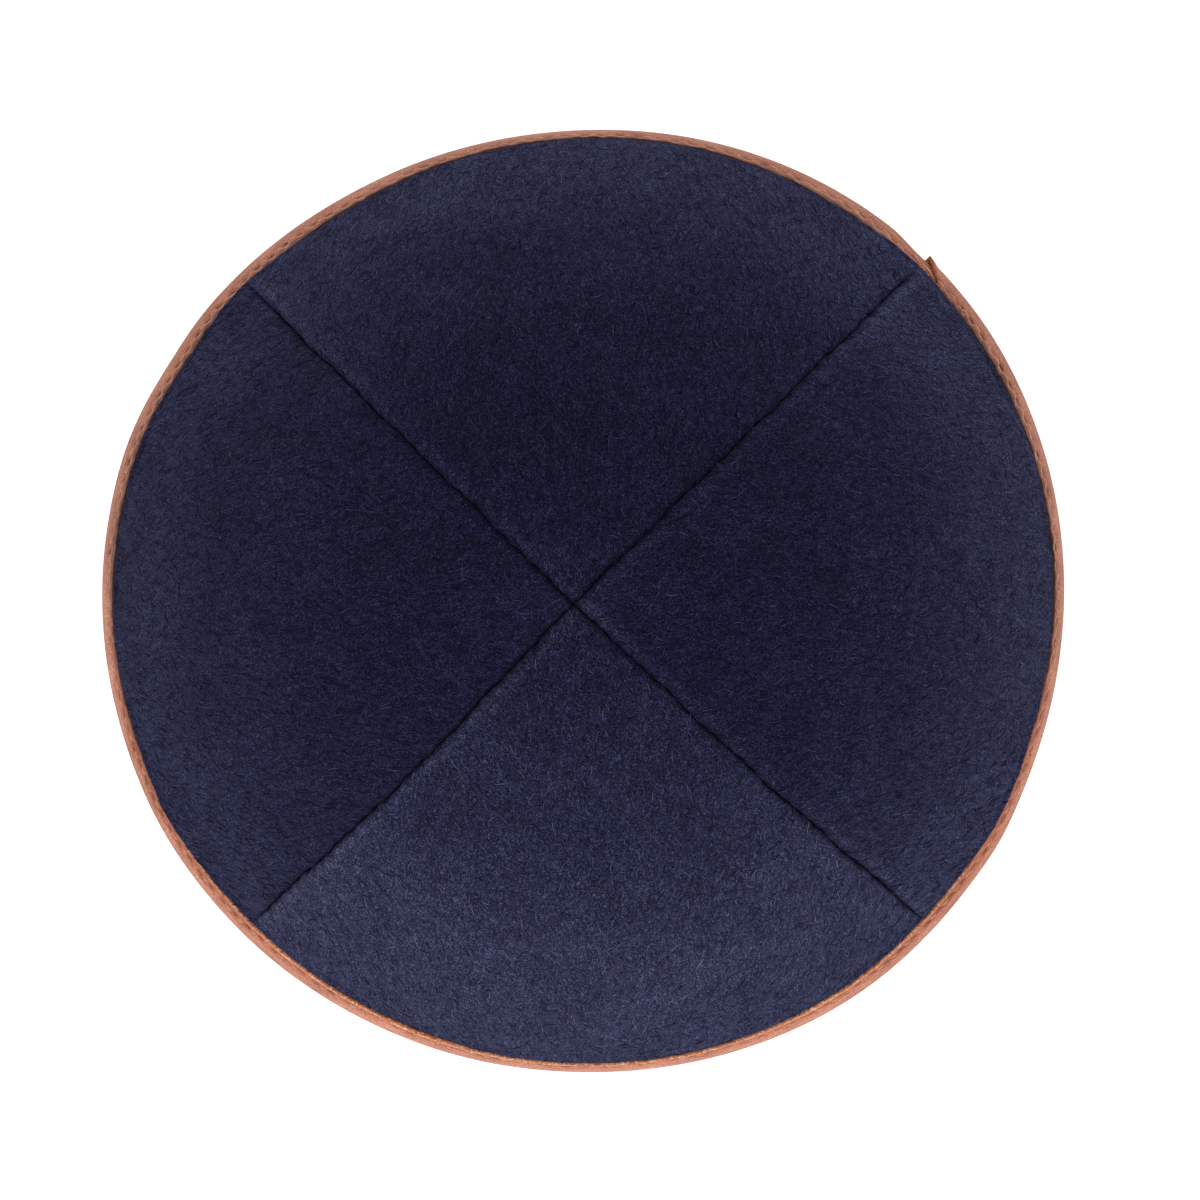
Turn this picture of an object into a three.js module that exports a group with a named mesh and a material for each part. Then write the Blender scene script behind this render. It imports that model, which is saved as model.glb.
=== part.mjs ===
// A four-panel wool skullcap with a folded leather binding, in millimetres with +Z up.
// It rests on its rim. The front is towards -Y, and the origin is on the table under the rim's middle.
import * as THREE from "three";
import { mergeVertices } from "three/addons/utils/BufferGeometryUtils.js";

const degree = Math.PI / 180;

// Crown
const crownHeight = 54;
const crownTip = { x: -1.42, y: -0.65 };
// The outer face's curve: its slope at the tip, and how far each end's slope carries
const tipSlope = 3 * degree;
const tipReach = 34;
const rimReach = 34;
// How much closer to the tip the panels' middles lie than the seams, halfway down
const squareness = 0.035;
// The wall's depth is measured straight down at the tip, and square to the face from this radius on
const levelTipRadius = 14;

// Wool and its seams
const woolThickness = 1.8;
const pressedWool = 1.0;
const seamGap = 0.3;
const seamRoll = 1.0;
const allowanceThickness = 1.2;
const allowanceWidth = 6;
const allowanceTaper = 0.6;
const allowanceEnd = 0.9;
const rimRollShare = 0.5;

// Leather binding
const leatherThickness = 0.85;
const bindingGap = 0.35;
const outerLeg = 6.0;
const innerLeg = 5.4;
const foldRadius = 1.1;
const innerFoldRise = 0.8;
const woolShoulder = 1.0;
const shoulderProud = 0.75;

// Where the strip's end laps over its start, by azimuth
const lap = { start: 34, full: 38, end: 44.5, fall: 0.4, proud: 0.45 };

// The rim's outline about the crown's tip: a mean radius and its waves
const meanRimRadius = 87.5;
const rimWaves = [
  { count: 1, size: 2.05, peak: 21.0 },
  { count: 2, size: 0.96, peak: 10.0 },
  { count: 3, size: 0.56, peak: 51.4 },
  { count: 4, size: 0.25, peak: -43.6 },
  { count: 5, size: 0.11, peak: 16.7 },
];

// Seams in counter-clockwise order, with the sideways bow of each one halfway down
const seams = {
  frontRight: { azimuth: -42.2, bow: -0.6 },
  backRight: { azimuth: 44.5, bow: 0 },
  backLeft: { azimuth: 135.7, bow: 0 },
  frontLeft: { azimuth: 224.65, bow: 1.0 },
};
const seamSlopes = { binding: 55, crown: 59 };

// Panels, each from one seam to the next, with the slopes at its middle
const panels = [
  { node: "panel_right", from: "frontRight", to: "backRight", binding: 62, crown: 62 },
  { node: "panel_back", from: "backRight", to: "backLeft", binding: 66.5, crown: 64 },
  { node: "panel_left", from: "backLeft", to: "frontLeft", binding: 62, crown: 62 },
  { node: "panel_front", from: "frontLeft", to: "frontRight", binding: 66.5, crown: 64 },
];

// Steps of the meshes
const crownSteps = [0.015, 0.04, 0.08, 0.14, 0.22, 0.31, 0.41, 0.51, 0.61, 0.71, 0.81, 0.91, 1];
const seamColumns = [0, 0.3, seamRoll, allowanceWidth - allowanceTaper, allowanceWidth];
const seamColumnRoom = 8;
const middleColumns = 12;
const ringSteps = 96;

const halfBinding = pressedWool / 2 + bindingGap + leatherThickness;

function smooth(low, high, value) {
  const part = Math.min(Math.max((value - low) / (high - low), 0), 1);
  return part * part * (3 - 2 * part);
}

function rimRadius(azimuth) {
  let radius = meanRimRadius;
  for (const wave of rimWaves) {
    radius += wave.size * Math.cos(wave.count * (azimuth - wave.peak * degree));
  }
  return radius;
}

// An angle brought between zero and one whole turn
function wrapTurn(angle) {
  const turn = 2 * Math.PI;
  return ((angle % turn) + turn) % turn;
}

function panelWidth(panel) {
  return wrapTurn((seams[panel.to].azimuth - seams[panel.from].azimuth) * degree);
}

// The panel that an azimuth falls in, and how far across it, from 0 to 1
function placeInPanel(azimuth) {
  for (const panel of panels) {
    const width = panelWidth(panel);
    const across = wrapTurn(azimuth - seams[panel.from].azimuth * degree);
    if (across <= width) return { panel, across: across / width, width };
  }
  return { panel: panels[0], across: 0, width: panelWidth(panels[0]) };
}

// A slope that changes from its value at the seams to the panel's own at its middle
function slopeAt(azimuth, kind) {
  const { panel, across } = placeInPanel(azimuth);
  const middle = Math.sin(Math.PI * across) ** 2;
  return (seamSlopes[kind] + (panel[kind] - seamSlopes[kind]) * middle) * degree;
}

// The rim's section at an azimuth: a base point on the table and the direction that its legs lean in
function rimFrame(azimuth) {
  const slope = slopeAt(azimuth, "binding");
  const reach = halfBinding / Math.sin(slope) - foldRadius / Math.tan(slope / 2) + foldRadius;
  return { slope, base: rimRadius(azimuth) - reach };
}

// A point of the rim's section: how far out from its middle line, and how far up along it
function rimPoint(frame, out, up) {
  return {
    r: frame.base + out * Math.sin(frame.slope) - up * Math.cos(frame.slope),
    z: out * Math.cos(frame.slope) + up * Math.sin(frame.slope),
  };
}

// The point of a line of the rim's section that lies at a given height
function rimPointAtHeight(frame, out, z) {
  return rimPoint(frame, out, (z - out * Math.cos(frame.slope)) / Math.sin(frame.slope));
}

// The crown's outer face from the tip, step 0, to the shoulder above the binding, step 1
function crownPoint(azimuth, step) {
  const shoulder = rimPoint(rimFrame(azimuth), pressedWool / 2 + shoulderProud, outerLeg + woolShoulder);
  const slope = slopeAt(azimuth, "crown");
  const curve = new THREE.CubicBezierCurve(
    new THREE.Vector2(0, crownHeight),
    new THREE.Vector2(tipReach, crownHeight - tipReach * Math.tan(tipSlope)),
    new THREE.Vector2(shoulder.r - rimReach * Math.cos(slope), shoulder.z + rimReach * Math.sin(slope)),
    new THREE.Vector2(shoulder.r, shoulder.z),
  );
  const point = curve.getPoint(step);
  const tangent = curve.getTangent(step);
  const { across, width } = placeInPanel(azimuth);
  const flatSide = Math.cos(width / 2) / Math.cos(width * (across - 0.5));
  const flatness = (1 - flatSide) / (1 - Math.cos(width / 2));
  const r = point.x * (1 - squareness * flatness * Math.sin(Math.PI * step));
  const lean = Math.atan2(-tangent.y, tangent.x) * smooth(0, levelTipRadius, r);
  return { r, z: point.y, lean };
}

// How far a seam's bow turns it at a distance from the tip
function seamShift(seam, r) {
  const along = Math.min(r / rimRadius(seam.azimuth * degree), 1);
  return (seam.bow * Math.sin(Math.PI * along) ** 2) / r;
}

// How far the cloth rolls down into a seam, by distance from its edge
function rollDepth(distance) {
  const rest = Math.max(seamRoll - distance, 0);
  return seamRoll - Math.sqrt(seamRoll ** 2 - rest ** 2);
}

// Places across a panel of a given width, measured from its first edge
function columnPlaces(width) {
  const scale = Math.min(width / 2 / seamColumnRoom, 1);
  const near = seamColumns.map((place) => place * scale);
  const first = near[near.length - 1];
  const places = [...near];
  for (let i = 1; i < middleColumns; i += 1) {
    places.push(first + ((width - 2 * first) * i) / middleColumns);
  }
  for (const place of near.reverse()) places.push(width - place);
  return places;
}

function toVector(azimuth, r, z) {
  return new THREE.Vector3(crownTip.x + r * Math.cos(azimuth), crownTip.y + r * Math.sin(azimuth), z);
}

// The places across one row of a panel, as azimuths and distances from the nearer edge
function rowColumns(panel, r) {
  const edge = Math.asin(Math.min(seamGap / 2 / r, 1));
  const shift = { from: seamShift(seams[panel.from], r), to: seamShift(seams[panel.to], r) };
  const start = seams[panel.from].azimuth * degree + shift.from + edge;
  const width = Math.max(panelWidth(panel) + shift.to - shift.from - 2 * edge, 0) * r;
  return columnPlaces(width).map((place) => ({
    azimuth: start + place / r,
    distance: Math.min(place, width - place),
  }));
}

// One row of the crown: outer face from seam to seam, then the inner face back
function crownRow(panel, step, middle) {
  const meanRadius = crownPoint(middle, step).r;
  const corner = seamGap / 2 / Math.sin(panelWidth(panel) / 2);
  const columns = rowColumns(panel, Math.max(meanRadius, corner));
  const outer = [];
  const inner = [];
  for (const { azimuth, distance } of columns) {
    const face = crownPoint(azimuth, step);
    const r = Math.max(face.r, corner);
    const nearRim = smooth(allowanceEnd, 1, step);
    const beyondFlap = smooth(allowanceWidth - allowanceTaper, allowanceWidth, distance);
    const flap = allowanceThickness * (1 - nearRim) * (1 - beyondFlap);
    const roll = rollDepth(distance) * (1 - nearRim * (1 - rimRollShare));
    const depths = [roll, woolThickness + flap];
    const [top, under] = depths.map((depth) => toVector(
      azimuth,
      r - depth * Math.sin(face.lean),
      face.z - depth * Math.cos(face.lean),
    ));
    outer.push(top);
    inner.unshift(under);
  }
  return [...outer, ...inner];
}

// One row of the wool inside the binding, pressed between the strip's two legs
function pressedRow(panel, placeOnLeg) {
  const columns = rowColumns(panel, meanRimRadius);
  const outer = columns.map(({ azimuth }) => {
    const point = placeOnLeg(rimFrame(azimuth), pressedWool / 2);
    return toVector(azimuth, point.r, point.z);
  });
  const inner = columns.map(({ azimuth }) => {
    const point = placeOnLeg(rimFrame(azimuth), -pressedWool / 2);
    return toVector(azimuth, point.r, point.z);
  });
  return [...outer, ...inner.reverse()];
}

function panelGeometry(panel) {
  const middle = seams[panel.from].azimuth * degree + panelWidth(panel) / 2;
  const rows = [crownRow(panel, 0, middle)];
  for (const step of crownSteps) rows.push(crownRow(panel, step, middle));
  rows.push(pressedRow(panel, (frame, out) => rimPoint(frame, out, outerLeg)));
  rows.push(pressedRow(panel, (frame, out) => rimPoint(frame, out, outerLeg / 2)));
  const foot = leatherThickness + bindingGap;
  rows.push(pressedRow(panel, (frame, out) => rimPointAtHeight(frame, out, foot)));
  return closedSolid(rows, false);
}

// How far the lapped end stands proud of the strip under it
function lapProud(azimuth) {
  const angle = azimuth / degree;
  if (angle < lap.start || angle > lap.end + lap.fall) return 0;
  return lap.proud * smooth(lap.start, lap.full, angle) * (angle > lap.end ? 0 : 1);
}

// The strip's folded section at one azimuth, starting at the foot's inner corner
function bindingSection(azimuth) {
  const frame = rimFrame(azimuth);
  const proud = lapProud(azimuth);
  const face = halfBinding + proud;
  const channel = pressedWool / 2 + bindingGap;
  const footOut = frame.base + halfBinding / Math.sin(frame.slope);
  const foldEnd = foldRadius / Math.tan(frame.slope / 2);
  const centre = { r: footOut - foldEnd + proud, z: foldRadius };
  const section = [{ r: footOut - foldEnd, z: 0 }];
  const foldTurn = Math.PI - frame.slope;
  for (const part of [1 / 3, 2 / 3, 1]) {
    const angle = -Math.PI / 2 + foldTurn * part;
    section.push({
      r: centre.r + foldRadius * Math.cos(angle),
      z: centre.z + foldRadius * Math.sin(angle),
    });
  }
  section.push(
    rimPoint(frame, face, outerLeg),
    rimPoint(frame, channel, outerLeg),
    rimPointAtHeight(frame, channel, leatherThickness),
    rimPointAtHeight(frame, -channel, leatherThickness),
    rimPoint(frame, -channel, innerLeg),
    rimPoint(frame, -face, innerLeg),
    rimPointAtHeight(frame, -face, innerFoldRise),
    rimPointAtHeight(frame, -halfBinding + leatherThickness / 2, 0),
  );
  return section.map((point) => toVector(azimuth, point.r, point.z));
}

function bindingGeometry() {
  const azimuths = [];
  for (let i = 0; i < ringSteps; i += 1) azimuths.push((360 * i) / ringSteps);
  const apart = 180 / ringSteps;
  const lapSteps = [lap.start, (lap.start + lap.full) / 2, lap.full, lap.end, lap.end + lap.fall];
  const kept = azimuths.filter((angle) => lapSteps.every((step) => Math.abs(angle - step) > apart));
  const sorted = [...kept, ...lapSteps].sort((a, b) => a - b);
  return closedSolid(sorted.map((angle) => bindingSection(angle * degree)), true);
}

// A closed solid from rows of points, where each row is a loop: a ring of rows, or one with a capped end
function closedSolid(rows, isRing) {
  const loop = rows[0].length;
  const positions = rows.flat().flatMap((point) => [point.x, point.y, point.z]);
  const triangles = [];
  const at = (row, place) => (row % rows.length) * loop + (place % loop);
  const quad = (a, b, c, d) => triangles.push([a, b, c], [a, c, d]);
  for (let row = 0; row < (isRing ? rows.length : rows.length - 1); row += 1) {
    for (let place = 0; place < loop; place += 1) {
      quad(at(row, place), at(row, place + 1), at(row + 1, place + 1), at(row + 1, place));
    }
  }
  if (!isRing) {
    const last = rows.length - 1;
    for (let place = 0; place < loop / 2 - 1; place += 1) {
      quad(at(last, place), at(last, place + 1), at(last, loop - 2 - place), at(last, loop - 1 - place));
    }
  }
  const loose = new THREE.BufferGeometry();
  loose.setAttribute("position", new THREE.Float32BufferAttribute(positions, 3));
  loose.setIndex(triangles.flat());
  const solid = mergeVertices(loose, 1e-3);
  const index = solid.index.array;
  const kept = [];
  for (let i = 0; i < index.length; i += 3) {
    const [a, b, c] = [index[i], index[i + 1], index[i + 2]];
    if (a !== b && b !== c && c !== a) kept.push(a, b, c);
  }
  solid.setIndex(kept);
  if (signedVolume(solid) < 0) {
    const flipped = [];
    for (let i = 0; i < kept.length; i += 3) flipped.push(kept[i], kept[i + 2], kept[i + 1]);
    solid.setIndex(flipped);
  }
  solid.computeVertexNormals();
  return solid;
}

function signedVolume(geometry) {
  const position = geometry.attributes.position;
  const index = geometry.index.array;
  const [a, b, c] = [new THREE.Vector3(), new THREE.Vector3(), new THREE.Vector3()];
  let volume = 0;
  for (let i = 0; i < index.length; i += 3) {
    a.fromBufferAttribute(position, index[i]);
    b.fromBufferAttribute(position, index[i + 1]);
    c.fromBufferAttribute(position, index[i + 2]);
    volume += a.dot(b.cross(c)) / 6;
  }
  return volume;
}

function namedMesh(name, geometry, material) {
  const mesh = new THREE.Mesh(geometry, material);
  mesh.name = name;
  return mesh;
}

const navyWool = () => new THREE.MeshStandardMaterial({ color: 0x26273d, roughness: 0.95, metalness: 0 });
const tanLeather = () => new THREE.MeshStandardMaterial({ color: 0xb87458, roughness: 0.55, metalness: 0 });

const skullcap = new THREE.Group();
for (const panel of panels) skullcap.add(namedMesh(panel.node, panelGeometry(panel), navyWool()));
skullcap.add(namedMesh("rim_binding", bindingGeometry(), tanLeather()));

export default skullcap;
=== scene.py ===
import math

import bmesh
import bpy
import numpy as np
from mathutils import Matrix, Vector


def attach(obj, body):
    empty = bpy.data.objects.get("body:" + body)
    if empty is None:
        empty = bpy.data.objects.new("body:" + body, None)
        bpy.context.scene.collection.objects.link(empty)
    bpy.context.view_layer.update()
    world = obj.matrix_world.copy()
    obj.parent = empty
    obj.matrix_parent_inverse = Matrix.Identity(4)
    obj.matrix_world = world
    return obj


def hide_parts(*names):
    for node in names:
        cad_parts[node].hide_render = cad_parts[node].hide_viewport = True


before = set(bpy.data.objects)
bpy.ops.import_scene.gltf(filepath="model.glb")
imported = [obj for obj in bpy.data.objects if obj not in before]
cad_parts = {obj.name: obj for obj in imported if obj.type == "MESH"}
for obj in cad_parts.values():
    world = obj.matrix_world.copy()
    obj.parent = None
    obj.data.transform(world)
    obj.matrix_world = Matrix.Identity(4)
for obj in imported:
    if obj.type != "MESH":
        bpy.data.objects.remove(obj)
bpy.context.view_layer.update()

# A four-panel wool skullcap with a folded leather binding, seen from straight above.
# Shapes are worked out in millimetres, in the frame's own place, and stored in metres.
MM = 0.001

# The crown: its height, its tip's place, and the slopes and reach of its outer face's curve
CROWN_HEIGHT = 54.0
CROWN_TIP = (-1.42, -0.65)
TIP_SLOPE = math.radians(3)
CURVE_REACH = 34.0
SQUARENESS = 0.035
LEVEL_TIP_RADIUS = 14.0

# The wool: its thickness, its roll into the seams, and the allowance pressed back on the inside
WOOL = 1.8
PRESSED_WOOL = 1.0
SEAM_GAP = 0.22
RIM_GAP = 0.03
SEAM_RUFFLE = 0.1
SEAM_ROLL = 0.78
ROLL_LEFT_AT_RIM = 0.22
SHOULDER_SWELL = 0.42
ALLOWANCE = 1.2
ALLOWANCE_WIDTH = 6.0
ALLOWANCE_TAPER = 0.5
ALLOWANCE_END = 0.9

# The leather strip folded over the rim
LEATHER = 0.85
BINDING_GAP = 0.35
OUTER_LEG = 6.0
TRIM = 0.3
INNER_LEG = 5.4
FOLD_RADIUS = 1.1
INNER_FOLD_RADIUS = 0.9
UNDER_FOLD = 0.7
UNDER_INNER_FOLD = 0.6
BACK_FOLD = 0.25
BACK_INNER_FOLD = 0.2
SHOULDER_RISE = 1.0
SHOULDER_PROUD = 0.75
CHANNEL = PRESSED_WOOL / 2 + BINDING_GAP
HALF_BINDING = CHANNEL + LEATHER

# The topstitching: how many stitches go round, and how far below the strip's edge they lie
STITCHES = 162
STITCH_DROP = 2.45
STITCH_WANDER = 0.14
STITCH_LENGTH = 2.1
STITCH_BOW = 0.16
THREAD = 0.46
HOLE = {"half_length": 0.4, "half_width": 0.32, "slant": 0.5, "uneven": 0.5}

# Where the strip's end laps over its start, in degrees, and the layers there
LAP_START = 36.5
LAP_END = 44.5
UNDER_EASE = 5.0
TOP_EASE = 16.0
END_SLANT = 4.6
UNDER_LAYER = {"face": 1.22, "back": 0.85, "foot_face": 0.52, "foot_back": 0.95}
TOP_LAYER = {"face": 1.88, "back": 1.36, "foot_face": 0.0, "foot_back": 0.45}
SINGLE_LAYER = {"face": HALF_BINDING, "back": CHANNEL, "foot_face": 0.0, "foot_back": LEATHER}
END_LIFT = 0.52
BACK_LIFT = 0.3 * END_LIFT

# The rim's outline about the crown's tip: a mean radius, and each wave's count, size and peak in degrees
MEAN_RIM_RADIUS = 87.5
RIM_WAVES = [
    (1, 2.05, 21.0),
    (2, 0.96, 10.0),
    (3, 0.56, 51.4),
    (4, 0.25, -43.6),
    (5, 0.11, 16.7),
]

# Bumps round the rim, here and below: each one's place and width in degrees, and its size.
# These are small bulges and dents of the rim that the waves leave out.
RIM_BUMPS = [
    (90, 12, -0.12),
    (120, 9, -0.12),
    (149, 5, -0.28),
    (161, 6, 0.2),
    (208, 8, 0.2),
    (256, 10, 0.16),
    (305, 9, 0.14),
    (331, 5, 0.32),
]

# Where the wool puffs out over the leather more or less than elsewhere
WOOL_PUFFS = [
    (45, 7, 0.75),
    (136.5, 6, 0.75),
    (4, 16, -0.25),
    (92, 34, -0.25),
    (172, 9, -0.3),
    (208, 7, 0.6),
    (250, 6, -0.35),
    (336, 7, 0.6),
    (270, 62, -0.42),
]

# Where the leather's edge is cut lower than elsewhere
LOW_EDGES = [
    (4, 16, 0.45),
    (92, 34, 0.45),
    (270, 62, 0.85),
]

# How deep the needle bites into the leather, and where it does so more or less
BITE = 0.42
DEEP_STITCHES = [
    (31, 17, 0.75),
    (142, 20, 0.7),
    (270, 50, -0.15),
]

# Seams, with their sideways bow and which panel's side stands a little higher there
SEAMS = {
    "front_right": {"azimuth": -42.2, "bow": -0.6, "raised": "right"},
    "back_right": {"azimuth": 44.5, "bow": 0.0, "raised": "right"},
    "back_left": {"azimuth": 135.7, "bow": 0.0, "raised": "back"},
    "front_left": {"azimuth": 224.65, "bow": 1.0, "raised": "front"},
}
SEAM_SLOPES = {"binding": 55.0, "crown": 59.0}
SEAM_RISE = 0.24
SEAM_PUFF = 0.16
PUCKER_PITCH = 2.6
PUCKER_DEPTH = 0.14
SEAM_WANDER = [(17.0, 0.12), (9.1, 0.07), (5.3, 0.05)]

# The line of thread that closes each seam, painted almost black as the shade at the seam's bottom: its depths
# below the surface and its half width, and how it ends behind the leather, by height up the rim and how far
# out its top lies
JOIN = {"top": 0.85, "bottom": 2.3, "rim_bottom": 1.5, "half": 0.5}
JOIN_TUCK = [(6.6, 0.75), (6.2, 0.4), (5.6, 0.3), (4.0, 0.3)]
JOIN_TUCK_BOTTOM = -0.3
JOIN_RADII = np.concatenate([[-0.45, 0.4, 0.8], np.linspace(1.5, 85, 90)])

PANELS = [
    {"name": "right", "from": "front_right", "to": "back_right", "binding": 62.0, "crown": 62.0},
    {"name": "back", "from": "back_right", "to": "back_left", "binding": 66.5, "crown": 64.0},
    {"name": "left", "from": "back_left", "to": "front_left", "binding": 62.0, "crown": 62.0},
    {"name": "front", "from": "front_left", "to": "front_right", "binding": 66.5, "crown": 64.0},
]

# The wool where it tucks in behind the leather: distance out, share of the swell, and height up the rim
OUTER_TUCK = [(1.42, 1, 6.7), (1.5, 1, 6.42), (1.38, 1, 6.18),
              (1.1, 0.9, 6.02), (0.8, 0.5, 5.96), (0.5, 0.1, 5.8)]
INNER_TUCK = [(-0.55, 0, 6.7), *[(-0.5, 0, up) for up in (6.42, 6.18, 6.02, 5.96, 5.8)]]
HIDDEN_TUCK = (4.4, 3.4)
LOW_EDGE_DROP = 1.1

# Steps of the panels' meshes
SEAM_COLUMNS = [0, 0.12, 0.3, 0.55, 0.9, 1.4, 2.0, 2.8, 3.8, 4.8, 5.5, 6.0, 6.4]
MIDDLE_COLUMNS = 100
COLUMN_ROOM = 8.0
CROWN_ROWS = 136
ROW_SPREAD = 1.06
ROWS_WITH_FIBRES = CROWN_ROWS + 3

# Steps of the strip's mesh: down each leg from its edge, and from one needle hole to the next
LEG_STEPS = [0, 0.02, 0.07, 0.14, 0.22, 0.3, 0.345, 0.375, 0.405, 0.44, 0.52, 0.66, 0.84, 1.0]
HOLE_STEPS = [0, 0.09, 0.18, 0.32, 0.68, 0.82, 0.91]

# The wool's relief: wavelength and height of each set of lumps
WOOL_LUMPS = [(23.0, 0.16), (9.0, 0.05), (3.6, 0.02), (1.9, 0.015)]

# Painted light and shade on the wool, by place: lighter at the tip, a painted sheen towards the rim; the last
# three work as shares beside and in the seams: a painted highlight on the raised side, painted shade on the
# low side, and painted shade with crushed wool in the seam
PAINTED_SHADING = {"plain": 0.25, "tip": 0.1, "middle": 0.07, "rim": 0.23,
       "high_side": 0.45, "low_side": 0.08, "in_seam": 0.5}

# Fine lines in the wool's finish: how close they lie across and along, turn in degrees, share and sharpness
WOOL_LINES = [
    ((380, 85), 8, 0.6, 13),
    ((580, 125), -42, 0.42, 7),
    ((400, 95), 52, 0.54, 13),
    ((540, 135), 92, 0.36, 7),
]

# Fibres lying on each panel: their number, sizes, and each kind's bend and lift
FIBRES = 6200
FIBRE_LENGTH = 1.8
FIBRE_THICKNESS = 0.06
FIBRE_KINDS = [(0.16, 0.03), (-0.14, 0.05), (0.05, 0.02), (-0.3, 0.04), (0.28, 0.06)]

# The light: lamps with their places, sizes and powers, the white world, and the glow of the pale floor
LAMPS = [
    {"name": "front_lamp", "place": (-0.12, -1.0, 0.35), "size": 0.7, "power": 4.0},
    {"name": "top_lamp", "place": (0.2, 0.3, 1.5), "size": 0.9, "power": 2.5},
]
LAMP_TARGET = (0, 0, 0.02)
WORLD_LIGHT = 0.6
FLOOR_GLOW = 0.7
FLOOR_SIDE = 2.0
FLOOR_LEVEL = -0.0002

# The camera and the photograph's frame
CAMERA_HEIGHT = 0.9
FRAME_WIDTH = 0.2202
FRAME_CENTRE = (0.0031, 0.0001)
SENSOR = 36.0


# Small maths

def smooth(low, high, value):
    part = np.clip((value - low) / (high - low), 0, 1)
    return part * part * (3 - 2 * part)


def blend(start, end, part):
    return start + (end - start) * part


def bell(value, centre, width):
    return np.exp(-(((value - centre) / width) ** 2))


def around(azimuth, bumps):
    """Adds up soft bumps round the rim, each with its place and width in degrees and its size."""
    total = 0 * azimuth
    for place, width, size in bumps:
        away = (azimuth - math.radians(place) + math.pi) % (2 * math.pi) - math.pi
        total = total + size * bell(away, 0, math.radians(width))
    return total


def lumps(points, wavelength, seed, waves=26):
    """Smooth random heights of about unit size at points in mm, from plane waves in random directions."""
    random = np.random.default_rng(seed)
    height = np.zeros(points.shape[:-1])
    for _ in range(waves):
        direction = random.normal(size=3)
        direction /= np.linalg.norm(direction)
        length = wavelength * random.uniform(0.7, 1.4)
        height += np.sin(points @ direction * (2 * math.pi / length) + random.uniform(0, 2 * math.pi))
    return height / math.sqrt(waves)


def ripple(angle, seed, counts):
    """Random waviness round the rim, of about unit size, from waves that each close on themselves."""
    random = np.random.default_rng(seed)
    height = np.zeros_like(angle)
    for count in counts:
        height += np.sin(angle * count + random.uniform(0, 2 * math.pi)) * random.uniform(0.6, 1)
    return height / math.sqrt(len(counts))


# The cap's form

def rim_radius(azimuth):
    radius = np.full_like(azimuth, MEAN_RIM_RADIUS)
    for count, size, peak in RIM_WAVES:
        radius = radius + size * np.cos(count * (azimuth - math.radians(peak)))
    return radius + around(azimuth, RIM_BUMPS)


def panel_width(panel):
    width = math.radians(SEAMS[panel["to"]]["azimuth"] - SEAMS[panel["from"]]["azimuth"])
    return width % (2 * math.pi)


def panel_start(panel):
    return math.radians(SEAMS[panel["from"]]["azimuth"])


def slope_at(azimuth, kind):
    """The slope, in radians, which changes from the seams' value to each panel's own at its middle."""
    slope = np.full_like(azimuth, SEAM_SLOPES[kind])
    for panel in PANELS:
        across = ((azimuth - panel_start(panel)) % (2 * math.pi)) / panel_width(panel)
        inside = across <= 1
        middle = np.sin(math.pi * across) ** 2
        slope = np.where(inside, blend(SEAM_SLOPES[kind], panel[kind], middle), slope)
    return np.radians(slope)


def rim_frame(azimuth):
    """The binding's lean and its base radius on the table."""
    slope = slope_at(azimuth, "binding")
    reach = HALF_BINDING / np.sin(slope) - FOLD_RADIUS / np.tan(slope / 2) + FOLD_RADIUS
    return slope, rim_radius(azimuth) - reach


def rim_point(azimuth, out, up):
    """Radius and height of a point of the rim's section, out from its middle line and up along it."""
    slope, base = rim_frame(azimuth)
    return (
        base + out * np.sin(slope) - up * np.cos(slope),
        out * np.cos(slope) + up * np.sin(slope),
    )


def crown_point(panel, azimuth, step):
    """Radius, height and lean of the crown's outer face, from the tip, step 0, to the binding, step 1."""
    end_r, end_z = rim_point(azimuth, PRESSED_WOOL / 2 + SHOULDER_PROUD, OUTER_LEG + SHOULDER_RISE)
    slope = slope_at(azimuth, "crown")
    r = [0 * end_r, CURVE_REACH + 0 * end_r, end_r - CURVE_REACH * np.cos(slope), end_r]
    z = [CROWN_HEIGHT + 0 * end_r, CROWN_HEIGHT - CURVE_REACH * math.tan(TIP_SLOPE) + 0 * end_r,
         end_z + CURVE_REACH * np.sin(slope), end_z]
    weights = [(1 - step) ** 3, 3 * step * (1 - step) ** 2, 3 * step**2 * (1 - step), step**3]
    point_r = sum(w * value for w, value in zip(weights, r))
    point_z = sum(w * value for w, value in zip(weights, z))
    turns = [(1 - step) ** 2, 2 * step * (1 - step), step**2]
    turn_r = sum(w * (r[i + 1] - r[i]) for i, w in enumerate(turns))
    turn_z = sum(w * (z[i + 1] - z[i]) for i, w in enumerate(turns))
    width = panel_width(panel)
    across = (azimuth - panel_start(panel)) / width
    flat_side = math.cos(width / 2) / np.cos(width * (across - 0.5))
    flatness = (1 - flat_side) / (1 - math.cos(width / 2))
    point_r = point_r * (1 - SQUARENESS * flatness * np.sin(math.pi * step))
    lean = np.arctan2(-turn_z, turn_r) * smooth(0, LEVEL_TIP_RADIUS, point_r)
    return point_r, point_z, lean


def seam_shift(seam, r):
    """The angle by which a seam strays from its plain azimuth: its bow, and a small wander."""
    along = min(float(r / rim_radius(np.array(math.radians(seam["azimuth"])))), 1)
    shift = seam["bow"] * math.sin(math.pi * along) ** 2
    loose = float(smooth(3, 9, r) * (1 - smooth(0.9, 0.97, along)))
    for wavelength, size in SEAM_WANDER:
        shift += loose * size * math.sin(2 * math.pi * r / wavelength + seam["azimuth"] + wavelength)
    return shift / r


def column_places(width):
    scale = min(width / 2 / COLUMN_ROOM, 1)
    near = np.array(SEAM_COLUMNS) * scale
    middle = np.linspace(near[-1], width - near[-1], MIDDLE_COLUMNS - 2 * len(near) + 2)[1:-1]
    return np.concatenate([near, middle, width - near[::-1]])


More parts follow.
